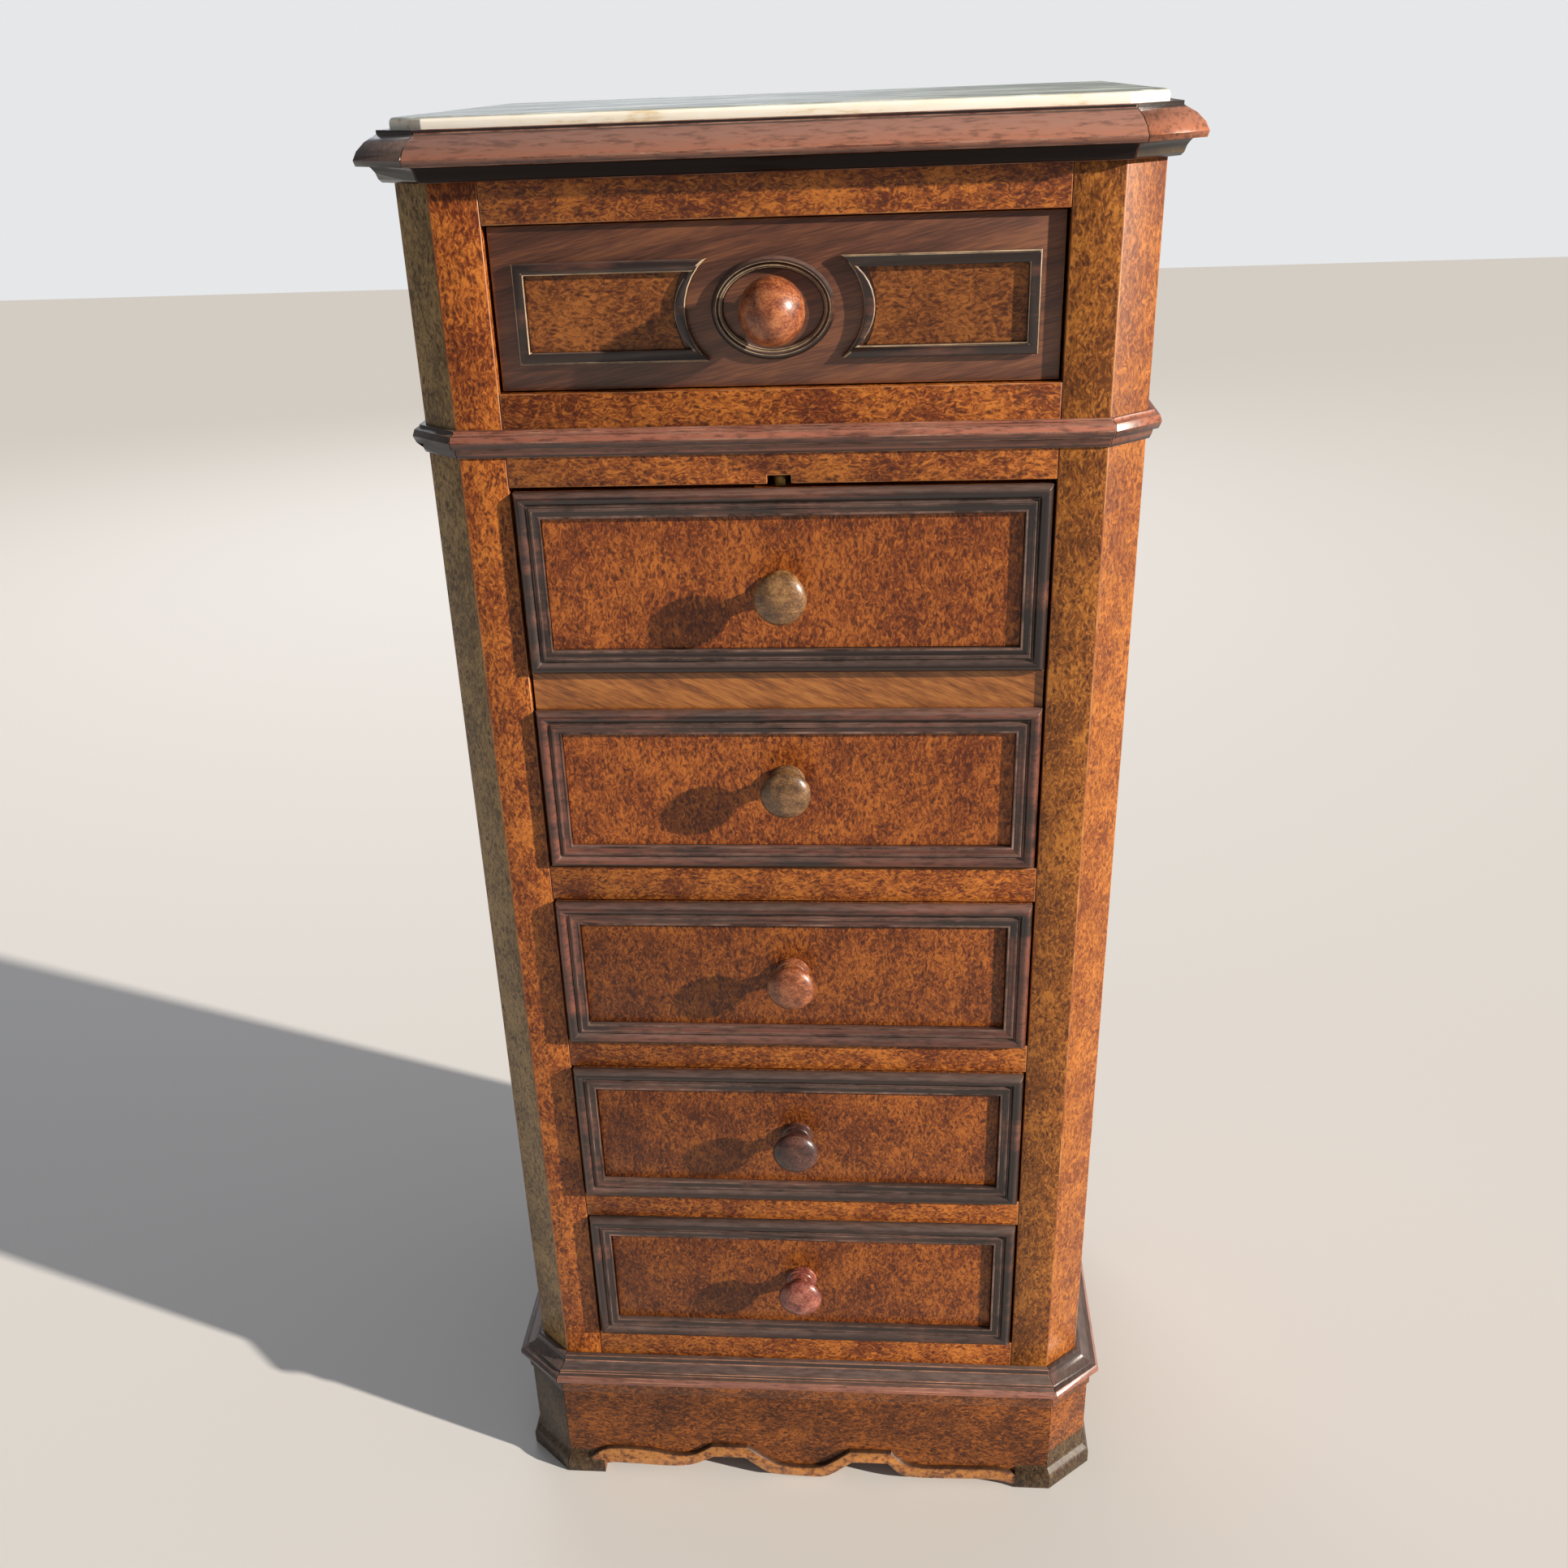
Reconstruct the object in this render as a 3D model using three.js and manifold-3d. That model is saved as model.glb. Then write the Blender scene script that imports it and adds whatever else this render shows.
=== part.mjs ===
// Tall chest of drawers with canted front corners, a loose marble slab, one frieze drawer,
// a fall-front flap made to look like two drawers, and three deep drawers below it.
// Millimetres, +Z up. x is centred, the front faces -Y.

import * as THREE from 'three';
import { mergeVertices } from 'three/addons/utils/BufferGeometryUtils.js';
import Module from 'manifold-3d';

const wasm = await Module();
wasm.setup();

// --- driving dimensions, measured from the carcass's front face (y = 0) ---

const FRONT_Y = -128.25;           // moves the whole chest so that its plan is centred on the origin
const GAP = 0.3;                 // clearance between neighbouring pieces

const HALF_WIDTH = 190;          // carcass, outside of the side panels
const FRONT_HALF = 168.8;        // front face, out to the canted corners
const CANT_DEPTH = 19;
const DEPTH = 290;
const OPENING_HALF = 144;        // between the corner posts
const POST_DEPTH = 32;
const CARCASS_TOP = 882.4;
const SIDE_THICK = 12;
const BACK_THICK = 8.7;
const BOARD_THICK = 9;

const PLINTH_TOP = 75.5;
const PLINTH_OUT = 9.5;          // plinth face in front of the carcass face
const PLINTH_THICK = 21;
const FOOT_OUT = 14.3;

const RAILS = {
  bottom_rail: [75.8, 123.6],
  rail_5: [227.4, 246.6],
  rail_4: [348.7, 368.2],
  rail_3: [469.3, 491.3],
  belt_rail: [716.8, 765.1],
  top_rail: [845.8, CARCASS_TOP],
};
const NOTCH_HALF = 6.2;
const NOTCH_TOP = 721.2;

const FRONT_HALF_WIDTH = 142.3;  // drawer fronts and flap
const FRONT_THICK = 16;
const PANEL_RISE = 2;            // burl panel in front of the plane the frame sits on
const FRAME_WIDTH = 14;
const BOX_HALF = 142;
const BOX_THICK = 8;
const BOX_BACK = 262;
const BOTTOM_THICK = 5;

const DRAWERS = {
  drawer_3: { low: 369.0, high: 468.3, plane: 0, knob: 420.8, colour: '#8a4a22' },
  drawer_4: { low: 247.4, high: 347.7, plane: 0, knob: 298.6, colour: '#2b1a12' },
  drawer_5: { low: 124.5, high: 226.4, plane: 1.5, knob: 177.2, colour: '#9a5a34' },
};
const FLAP = { low: 491.8, high: 714.4, plane: 2.5, split_low: 590.8, split_high: 612.8 };
const KNOB = { ball: 14.4, flat: 6.4, stand: 19, neck: 5.2, collar: 10.2 };
const TOP_KNOB = { ball: 16.5, flat: 16.5, stand: 21, neck: 8, collar: 12.6 };
const FLAP_KNOBS = { lower: 546.8, upper: 660.3 };
const TOP_DRAWER = { low: 765.9, high: 845.0, plane: 4, knob: 804.5 };

const MARBLE = { low: 882.7, high: 894.9, inset: 1, round: 2.5 };
const CATCH = { radius: 4, y: 10.5, low: 700, high: 719.5, bore: 4.3 };

// --- profiles: [out from the face, height] ---

const CORNICE = [
  [0.3, 865.5], [5.5, 866], [7, 867.5], [8, 870.5], [9.5, 872.5], [10.5, 873.5], [16.5, 873.8],
  [17.3, 876.5], [15.3, 880.5], [11.2, 884.5], [6.7, 887], [5.3, 887.8], [5.3, 889.6], [0.3, 889.6],
];
const BELT = [
  [0.3, 733], [1.6, 733], [2.6, 735.4], [3, 737.5], [5.6, 738.3], [7, 741.8], [5.8, 745.2],
  [3, 746], [3, 747.5], [0.3, 747.5],
];
const BASE_MOULDING = [
  [0.3, 75.8], [11, 75.8], [11, 86.5], [14.4, 87], [16.2, 89], [16.2, 91.5], [14.4, 93.5],
  [11.2, 93.9], [10.8, 95.8], [6.5, 97.2], [4.2, 99.4], [3.5, 103], [0.3, 103.7],
];
const PLINTH_RETURN = [
  [PLINTH_OUT - PLINTH_THICK, 0], [FOOT_OUT, 0], [FOOT_OUT, 9], [12.6, 12.6], [10.2, 15],
  [PLINTH_OUT, 17], [PLINTH_OUT, PLINTH_TOP - 0.2], [PLINTH_OUT - PLINTH_THICK, PLINTH_TOP - 0.2],
];
// Frame moulding round each drawer front: [in from the outer edge, out from the plane it sits on].
const FRAME = [
  [0, 0.2], [0, 2.5], [1.4, 5.2], [3.8, 7], [6.0, 5.6], [7.6, 4.2], [8.4, 5.6], [10.0, 5.6],
  [13.2, 4.6], [14, 4.4], [14, 0.2],
];

// Carved bead on the plinth's lower edge: [across, height] of its upper and lower lines, in runs
// that meet at the corners of the two flat-topped cusps.
const BEAD_UPPER = [
  [[-158, 13], [-146, 22], [-130, 23.5], [-111, 22], [-95, 18.7], [-81, 19.8], [-67.5, 28.6]],
  [[-67.5, 28.6], [-42, 28.6]],
  [[-42, 28.6], [-30, 19], [-19, 12.8], [0, 10.6], [14, 13.5], [32, 27.8]],
  [[32, 27.8], [61.6, 27.8]],
  [[61.6, 27.8], [70, 18.5], [84.5, 14.5], [110, 15], [136, 15.5], [149, 11.5], [156, 5]],
];
const BEAD_LOWER = [
  [[-152, 4], [-143, 8], [-130, 8.4], [-100, 7], [-82, 9.4], [-66.5, 17.8]],
  [[-66.5, 17.8], [-44, 17.8]],
  [[-44, 17.8], [-28, 4.6], [-17, 2.8], [0, 1.6], [16, 3], [33.5, 17]],
  [[33.5, 17], [59, 17]],
  [[59, 17], [68, 7.4], [80, 4.4], [104, 4.6], [129, 5.4], [140, 4.2], [148, 0.8]],
];

const WOOD = { walnut: '#6b3a1c', burl: '#8f5426', plain: '#8a5a32', deal: '#a98257' };
const EBONISED = '#2a1712';

// --- helpers ---

function solid(geometry, matrix) {
  const copy = geometry.clone();
  if (matrix) copy.applyMatrix4(matrix);
  copy.deleteAttribute('normal');
  copy.deleteAttribute('uv');
  const merged = mergeVertices(copy, 1e-4);
  const index = merged.index.array;
  const triVerts = [];
  for (let i = 0; i < index.length; i += 3) {
    const [a, b, c] = [index[i], index[i + 1], index[i + 2]];
    if (a !== b && b !== c && a !== c) triVerts.push(a, b, c);
  }
  return new wasm.Manifold(new wasm.Mesh({
    numProp: 3,
    vertProperties: new Float32Array(merged.attributes.position.array),
    triVerts: new Uint32Array(triVerts),
  }));
}

function toGeometry(manifold) {
  const mesh = manifold.getMesh();
  const geometry = new THREE.BufferGeometry();
  geometry.setAttribute('position', new THREE.BufferAttribute(mesh.vertProperties, 3));
  geometry.setIndex(new THREE.BufferAttribute(mesh.triVerts, 1));
  geometry.computeVertexNormals();
  return geometry;
}

function outline(points) {
  const corners = points.map(([x, y]) => new THREE.Vector2(x, y));
  return new THREE.Shape(THREE.ShapeUtils.isClockWise(corners) ? corners.reverse() : corners);
}

function box([x0, x1], [y0, y1], [z0, z1]) {
  const geometry = new THREE.BoxGeometry(x1 - x0, y1 - y0, z1 - z0);
  return geometry.translate((x0 + x1) / 2, (y0 + y1) / 2, (z0 + z1) / 2);
}

// Plan outline carried straight up from z0 to z1.
function planPrism(points, z0, z1) {
  const geometry = new THREE.ExtrudeGeometry(outline(points), { depth: z1 - z0, bevelEnabled: false });
  return geometry.translate(0, 0, z0);
}

// Outline seen from the front ([x, z]) carried forward from yBack to yFront.
function facePrism(shape, yBack, yFront, bevel = 0) {
  const geometry = new THREE.ExtrudeGeometry(shape, {
    depth: yBack - yFront - 2 * bevel,
    bevelEnabled: bevel > 0,
    bevelThickness: bevel,
    bevelSize: bevel,
    bevelOffset: -bevel,
    bevelSegments: 2,
    curveSegments: 16,
  });
  const turn = new THREE.Matrix4().makeBasis(
    new THREE.Vector3(1, 0, 0), new THREE.Vector3(0, 0, 1), new THREE.Vector3(0, -1, 0));
  geometry.applyMatrix4(turn);
  return geometry.translate(0, yBack - bevel, 0);
}

// A moulding's profile carried along one straight stretch of the plan, with spare length at each end.
function stretch(profile, from, to, spare = 40) {
  const run = new THREE.Vector3(to[0] - from[0], to[1] - from[1], 0);
  const length = run.length();
  run.normalize();
  const out = new THREE.Vector3(run.y, -run.x, 0);
  const geometry = new THREE.ExtrudeGeometry(outline(profile), {
    depth: length + 2 * spare, bevelEnabled: false,
  });
  const turn = new THREE.Matrix4().makeBasis(out, new THREE.Vector3(0, 0, 1), run.clone().negate());
  turn.setPosition(to[0] + run.x * spare, to[1] + run.y * spare, 0);
  return solid(geometry, turn);
}

// Outline of the carcass pushed outwards by p, as points from the back left to the back right.
function carcassLine(p) {
  const cant = Math.hypot(HALF_WIDTH - FRONT_HALF, CANT_DEPTH);
  const nx = CANT_DEPTH / cant;
  const ny = (HALF_WIDTH - FRONT_HALF) / cant;
  const x1 = FRONT_HALF + p * (1 - ny) / nx;
  const y2 = CANT_DEPTH - p * (1 - nx) / ny;
  return [
    [-HALF_WIDTH - p, DEPTH], [-HALF_WIDTH - p, y2], [-x1, -p], [x1, -p],
    [HALF_WIDTH + p, y2], [HALF_WIDTH + p, DEPTH],
  ];
}

// The part of the plan that belongs to stretch i, bounded by the mitre lines at its ends.
function cell(i, inner, outer, trimStart, trimEnd) {
  const a = carcassLine(inner);
  const b = carcassLine(outer);
  const points = [a[i], a[i + 1], b[i + 1], b[i]].map((point) => [...point]);
  const run = new THREE.Vector2(a[i + 1][0] - a[i][0], a[i + 1][1] - a[i][1]).normalize();
  for (const k of [0, 3]) {
    points[k][0] += run.x * trimStart;
    points[k][1] += run.y * trimStart;
  }
  for (const k of [1, 2]) {
    points[k][0] -= run.x * trimEnd;
    points[k][1] -= run.y * trimEnd;
  }
  return points;
}

function mitred(profile, i, trimStart, trimEnd) {
  const line = carcassLine(0);
  const lows = profile.map(([, z]) => z);
  const clip = planPrism(cell(i, -30, 30, trimStart, trimEnd), Math.min(...lows) - 1, Math.max(...lows) + 1);
  return stretch(profile, line[i], line[i + 1]).intersect(solid(clip));
}

function frontRun(profile) {
  return mitred(profile, 2, GAP / 2, GAP / 2);
}

// Canted corner and side in one length, returned to the wall. side is -1 for left, 1 for right.
function returnRun(profile, side) {
  if (side < 0) {
    return mitred(profile, 0, 0, 0).add(mitred(profile, 1, -0.02, GAP / 2));
  }
  return mitred(profile, 4, 0, 0).add(mitred(profile, 3, GAP / 2, -0.02));
}

// Four lengths of frame moulding mitred round the rectangle, standing on the plane y.
function mouldedFrame(x0, x1, z0, z1, y) {
  const sides = [
    { start: [x0, z0], inward: [0, 1], length: x1 - x0 },
    { start: [x1, z0], inward: [-1, 0], length: z1 - z0 },
    { start: [x1, z1], inward: [0, -1], length: x1 - x0 },
    { start: [x0, z1], inward: [1, 0], length: z1 - z0 },
  ];
  const proud = new THREE.Vector3(0, -1, 0);
  let frame = null;
  for (const { start, inward, length } of sides) {
    const inn = new THREE.Vector3(inward[0], 0, inward[1]);
    const run = new THREE.Vector3().crossVectors(inn, proud);
    const turn = new THREE.Matrix4().makeBasis(inn, proud, run);
    turn.setPosition(start[0], y, start[1]);
    const bar = solid(new THREE.ExtrudeGeometry(outline(FRAME), { depth: length, bevelEnabled: false }), turn);
    const w = FRAME_WIDTH + 1;
    const lap = 0.02;
    const trapezoid = outline([[-1, -1 - 1 - lap], [-1, length + 2 + lap], [w, length - w + lap], [w, w - lap]]
      .map(([u, a]) => (u < 0 ? [u, a < 0 ? u - lap : length - u + lap] : [u, a])));
    const clip = new THREE.ExtrudeGeometry(trapezoid, { depth: 12, bevelEnabled: false });
    const clipTurn = new THREE.Matrix4().makeBasis(inn, run, new THREE.Vector3().crossVectors(inn, run));
    clipTurn.setPosition(start[0], y - 10, start[1]);
    const piece = bar.intersect(solid(clip, clipTurn));
    frame = frame ? frame.add(piece) : piece;
  }
  return frame;
}

function mesh(name, shape, colour, roughness = 0.45) {
  const geometry = shape.isBufferGeometry ? shape : toGeometry(shape);
  const material = new THREE.MeshStandardMaterial({ color: colour, roughness, metalness: 0 });
  const result = new THREE.Mesh(geometry, material);
  result.name = name;
  return result;
}

// --- carcass ---

function marbleTop() {
  const { low, high, inset, round } = MARBLE;
  const shape = outline(carcassLine(-inset).map(([x, y]) => [x, Math.min(y, DEPTH - inset)]));
  const geometry = new THREE.ExtrudeGeometry(shape, {
    depth: high - low - 2 * round,
    bevelEnabled: true,
    bevelThickness: round,
    bevelSize: round,
    bevelOffset: -round,
    bevelSegments: 3,
  });
  return mesh('marble_top', solid(geometry.translate(0, 0, low + round)), '#cfc9bb', 0.2);
}

function mouldings(name, profile, colour) {
  return [
    mesh(`${name}_front`, frontRun(profile), colour),
    mesh(`${name}_left`, returnRun(profile, -1), colour),
    mesh(`${name}_right`, returnRun(profile, 1), colour),
  ];
}

// Smooth line through each run of points, with a corner where one run meets the next.
function smooth(runs, count) {
  const line = runs.flatMap((points, i) => {
    const curve = new THREE.SplineCurve(points.map(([x, z]) => new THREE.Vector2(x, z)));
    const steps = points.length > 2 ? count : 1;
    return curve.getPoints(steps).slice(i ? 1 : 0);
  });
  return line.map((point) => [point.x, Math.max(point.y, 0)]);
}

// Front board of the plinth: shaped lower edge with its bead, and a moulded foot at each end.
function plinthFront() {
  const lower = smooth(BEAD_LOWER, 20);
  const upper = smooth(BEAD_UPPER, 20);
  const top = PLINTH_TOP - 0.2;
  const board = outline([[-176, 0], [-152, 0], ...lower, [152, 0], [176, 0], [176, top], [-176, top]]);
  const apron = solid(facePrism(board, PLINTH_THICK - PLINTH_OUT, -PLINTH_OUT));
  const bead = solid(facePrism(outline([...lower, ...upper.reverse()]), -PLINTH_OUT + 1, -FOOT_OUT + 0.8, 1.2));
  const foot = (side) => {
    const block = stretch(PLINTH_RETURN, [-FRONT_HALF, 0], [FRONT_HALF, 0]);
    const limits = side < 0 ? [-200, -147] : [150, 200];
    return block.intersect(solid(box(limits, [-40, 20], [-1, 40])));
  };
  const whole = apron.add(bead).add(foot(-1)).add(foot(1));
  const clip = solid(planPrism(cell(2, -30, 30, GAP / 2, GAP / 2), -2, 100));
  return mesh('plinth_front', whole.intersect(clip), WOOD.walnut);
}

function plinthReturn(name, side) {
  return mesh(name, returnRun(PLINTH_RETURN, side), WOOD.walnut);
}

function cornerPost(name, side) {
  const points = [
    [OPENING_HALF, 0], [FRONT_HALF, 0], [HALF_WIDTH, CANT_DEPTH], [HALF_WIDTH, POST_DEPTH],
    [OPENING_HALF, POST_DEPTH],
  ].map(([x, y]) => [side * x, y]);
  return mesh(name, planPrism(points, PLINTH_TOP + GAP, CARCASS_TOP), WOOD.walnut);
}

// Side board with the strips that guide the drawers and the lining of the flap's compartment.
function sidePanel(name, side) {
  const inner = HALF_WIDTH - SIDE_THICK;
  const guide = OPENING_HALF + GAP;
  const y = [POST_DEPTH + GAP, DEPTH - GAP];
  const across = (x0, x1) => (side < 0 ? [-x1, -x0] : [x0, x1]);
  let panel = solid(box(across(inner, HALF_WIDTH), y, [PLINTH_TOP + GAP, CARCASS_TOP]));
  const strips = Object.values(RAILS).slice(0, -1).map(([, top]) => [top + 0.1, top + 16]);
  strips.push([RAILS.belt_rail[1] - BOARD_THICK - 13, RAILS.belt_rail[1] - BOARD_THICK - 0.5]);
  for (const z of strips) {
    panel = panel.add(solid(box(across(guide, inner + 1), [y[0], DEPTH - 10], z)));
  }
  const lining = [RAILS.rail_3[1] + 0.1, RAILS.belt_rail[1] - BOARD_THICK - 0.5];
  panel = panel.add(solid(box(across(guide, guide + 7), [y[0], DEPTH - 10], lining)));
  return mesh(name, panel, WOOD.plain);
}

function backPanel() {
  const half = HALF_WIDTH - SIDE_THICK - GAP;
  const y = [DEPTH - GAP - BACK_THICK, DEPTH - GAP];
  return mesh('back_panel', box([-half, half], y, [PLINTH_TOP + GAP, CARCASS_TOP]), WOOD.deal, 0.7);
}

function rail(name) {
  const half = OPENING_HALF - GAP;
  const shape = solid(box([-half, half], [0, POST_DEPTH], RAILS[name]));
  if (name !== 'belt_rail') return mesh(name, shape, WOOD.walnut);
  const notch = solid(box([-NOTCH_HALF, NOTCH_HALF], [-1, 22], [RAILS.belt_rail[0] - 1, NOTCH_TOP]));
  return mesh(name, shape.subtract(notch), WOOD.walnut);
}

function board(name, top) {
  const half = HALF_WIDTH - SIDE_THICK - GAP;
  const y = [POST_DEPTH + GAP, DEPTH - 2 * GAP - BACK_THICK];
  return mesh(name, box([-half, half], y, [top - BOARD_THICK, top]), WOOD.deal, 0.7);
}

// --- drawers and flap ---

// Head on a neck and a ringed collar. ball is the head's radius, flat is half its thickness and
// stand is how far its centre is from the face it is fixed to.
function knob(name, z, face, { ball, flat, stand, neck, collar }, colour) {
  const centre = face - stand;
  const points = [[0, face - 0.2], [collar, face - 0.2], [collar, face - 1.4]];
  points.push([collar * 0.93, face - 1.9], [collar * 0.98, face - 2.6], [collar * 0.9, face - 3.3]);
  points.push([collar * 0.82, face - 4.3], [neck, face - 4.8]);
  const start = Math.asin(neck / ball);
  for (let i = 1; i <= 9; i += 1) {
    const angle = start + (Math.PI - start) * (i / 9);
    points.push([Math.sin(angle) * ball, centre + Math.cos(angle) * flat]);
  }
  points[points.length - 1][0] = 0;
  const profile = points.map(([r, y]) => new THREE.Vector2(r, y)).reverse();
  const geometry = new THREE.LatheGeometry(profile, 22);
  return mesh(name, solid(geometry.translate(0, 0, z)), colour, 0.3);
}

function drawerBox(name, low, high, front) {
  const inner = BOX_HALF - BOX_THICK;
  const points = [
    [-BOX_HALF, front], [-inner, front], [-inner, BOX_BACK - BOX_THICK], [inner, BOX_BACK - BOX_THICK],
    [inner, front], [BOX_HALF, front], [BOX_HALF, BOX_BACK], [-BOX_HALF, BOX_BACK],
  ];
  return mesh(`${name}_box`, planPrism(points, low, high - 8), WOOD.deal, 0.7);
}

function drawerBottom(name, low, front) {
  const half = BOX_HALF - BOX_THICK - GAP;
  const y = [front, BOX_BACK - BOX_THICK - GAP];
  return mesh(`${name}_bottom`, box([-half, half], y, [low + 4, low + 4 + BOTTOM_THICK]), WOOD.deal, 0.7);
}

function deepDrawer(name) {
  const { low, high, plane, knob: knobZ, colour } = DRAWERS[name];
  const half = FRONT_HALF_WIDTH;
  const inside = FRAME_WIDTH + GAP;
  const front = solid(box([-half, half], [plane, plane + FRONT_THICK], [low, high]));
  const panel = solid(box(
    [-half + inside, half - inside], [plane - PANEL_RISE, plane + 1], [low + inside, high - inside]));
  const back = plane + FRONT_THICK + GAP;
  const group = new THREE.Group();
  group.name = name;
  group.add(
    mesh(`${name}_front`, front.add(panel), WOOD.burl, 0.35),
    mesh(`${name}_frame`, mouldedFrame(-half, half, low, high, plane), EBONISED, 0.35),
    knob(`${name}_knob`, knobZ, plane - PANEL_RISE, KNOB, colour),
    drawerBox(name, low - 0.2, high, back),
    drawerBottom(name, low, back),
  );
  return group;
}

// Oval ring round the frieze drawer's knob.
function ovalRing() {
  const { knob: z, plane } = TOP_DRAWER;
  const shape = new THREE.Shape();
  shape.absellipse(-0.7, z - 0.5, 31.1, 24.6, 0, 2 * Math.PI, false, 0);
  const hole = new THREE.Path();
  hole.absellipse(-0.7, z - 0.5, 25.3, 18.6, 0, 2 * Math.PI, true, 0);
  shape.holes.push(hole);
  return mesh('top_drawer_oval_ring', solid(facePrism(shape, plane - 0.2, plane - 4, 1.4)), EBONISED, 0.35);
}

// One framed outline of the frieze drawer, with a hollow end that follows the oval ring.
function hollowEnd(side, outer, low, high, tip, waist) {
  const zMid = (low + high) / 2;
  const rise = (high - low) / 2;
  const sag = waist - tip;
  const radius = (rise * rise + sag * sag) / (2 * sag);
  const centre = waist - radius;
  const spread = Math.asin(rise / radius);
  const points = [[side * outer, low]];
  for (let i = 0; i <= 10; i += 1) {
    const angle = -spread + (2 * spread * i) / 10;
    points.push([side * (centre + radius * Math.cos(angle)), zMid + radius * Math.sin(angle)]);
  }
  points.push([side * outer, high]);
  return points;
}

function friezeFrame(name, side) {
  const { plane } = TOP_DRAWER;
  const shape = outline(hollowEnd(side, 131.2, 778.9, 827.8, 33, 44.6));
  shape.holes.push(outline(hollowEnd(side, 125.2, 784.9, 821.8, 42, 50.4)));
  return mesh(name, solid(facePrism(shape, plane - 0.2, plane - 4, 1.2)), EBONISED, 0.35);
}

function topDrawer() {
  const { low, high, plane, knob: knobZ } = TOP_DRAWER;
  const half = FRONT_HALF_WIDTH;
  const back = plane + FRONT_THICK + GAP;
  const group = new THREE.Group();
  group.name = 'top_drawer';
  group.add(
    mesh('top_drawer_front', box([-half, half], [plane, plane + FRONT_THICK], [low, high]), WOOD.burl, 0.35),
    ovalRing(),
    friezeFrame('top_drawer_frame_left', -1),
    friezeFrame('top_drawer_frame_right', 1),
    knob('top_drawer_knob', knobZ, plane, TOP_KNOB, '#6e3d1e'),
    drawerBox('top_drawer', low - 0.2, high, back),
    drawerBottom('top_drawer', low, back),
  );
  return group;
}

function flap() {
  const { low, high, plane } = FLAP;
  const half = FRONT_HALF_WIDTH;
  const inside = FRAME_WIDTH + GAP;
  const fields = [[low + 0.3, FLAP.split_low], [FLAP.split_high, high]];
  let leaf = solid(box([-half, half], [plane, plane + FRONT_THICK + 2], [low, high]));
  for (const [z0, z1] of fields) {
    leaf = leaf.add(solid(box(
      [-half + inside, half - inside], [plane - PANEL_RISE, plane + 1], [z0 + inside, z1 - inside])));
  }
  const bore = new THREE.CylinderGeometry(CATCH.bore, CATCH.bore, 24, 24);
  bore.rotateX(Math.PI / 2).translate(0, CATCH.y, high - 6);
  const stud = new THREE.CylinderGeometry(CATCH.radius, CATCH.radius, CATCH.high - CATCH.low, 24);
  stud.rotateX(Math.PI / 2).translate(0, CATCH.y, (CATCH.high + CATCH.low) / 2);
  const face = plane - PANEL_RISE;
  const group = new THREE.Group();
  group.name = 'flap';
  group.add(
    mesh('flap_board', leaf.subtract(solid(bore)), WOOD.burl, 0.35),
    mesh('flap_lower_frame', mouldedFrame(-half, half, ...fields[0], plane), EBONISED, 0.35),
    mesh('flap_upper_frame', mouldedFrame(-half, half, ...fields[1], plane), EBONISED, 0.35),
    knob('flap_lower_knob', FLAP_KNOBS.lower, face, KNOB, '#5c3a1c'),
    knob('flap_upper_knob', FLAP_KNOBS.upper, face, KNOB, '#7a4520'),
    mesh('flap_catch', stud, '#a8894f', 0.35),
  );
  return group;
}

const chest = new THREE.Group();
chest.name = 'chest_of_drawers';
chest.position.y = FRONT_Y;
chest.add(
  marbleTop(),
  ...mouldings('cornice', CORNICE, '#4a2418'),
  ...mouldings('belt', BELT, EBONISED),
  ...mouldings('base_moulding', BASE_MOULDING, EBONISED),
  plinthFront(),
  plinthReturn('plinth_left', -1),
  plinthReturn('plinth_right', 1),
  cornerPost('post_left', -1),
  cornerPost('post_right', 1),
  sidePanel('side_panel_left', -1),
  sidePanel('side_panel_right', 1),
  backPanel(),
  ...Object.keys(RAILS).map(rail),
  board('bottom_board', RAILS.bottom_rail[1] - 0.3),
  board('dust_board_5', RAILS.rail_5[1] - 0.3),
  board('dust_board_4', RAILS.rail_4[1] - 0.3),
  board('compartment_floor', RAILS.rail_3[1] - 0.3),
  board('frieze_dust_board', RAILS.belt_rail[1] - 0.3),
  board('top_board', CARCASS_TOP - 0.3),
  topDrawer(),
  flap(),
  ...Object.keys(DRAWERS).map(deepDrawer),
);

export default chest;
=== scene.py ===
"""Looks for a tall marble-topped chest: burl veneer, ebonised mouldings, turned knobs."""

import logging
import math
from dataclasses import dataclass
from enum import Enum
from typing import Any, Iterable, Optional, Sequence, Union

import bpy
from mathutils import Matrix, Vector


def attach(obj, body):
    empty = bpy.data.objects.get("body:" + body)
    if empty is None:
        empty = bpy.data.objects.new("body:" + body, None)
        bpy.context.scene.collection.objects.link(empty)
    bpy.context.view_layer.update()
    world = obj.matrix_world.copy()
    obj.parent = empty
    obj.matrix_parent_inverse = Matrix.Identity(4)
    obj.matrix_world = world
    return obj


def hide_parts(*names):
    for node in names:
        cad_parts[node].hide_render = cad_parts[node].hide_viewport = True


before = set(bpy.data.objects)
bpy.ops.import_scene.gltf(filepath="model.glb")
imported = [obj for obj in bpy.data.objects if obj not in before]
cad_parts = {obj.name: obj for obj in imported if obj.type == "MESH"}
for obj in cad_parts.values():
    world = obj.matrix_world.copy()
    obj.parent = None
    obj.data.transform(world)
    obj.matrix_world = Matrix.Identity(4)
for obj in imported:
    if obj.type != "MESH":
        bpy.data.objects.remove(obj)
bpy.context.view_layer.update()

log = logging.getLogger("chest")

MM = 0.001
FRONT_Y = -0.12825
FRONT_HALF = 142.3
WELD = 0.00001
SLANT = 0.3
SQUARE = 0.9
SMOOTH = math.radians(32)

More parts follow.
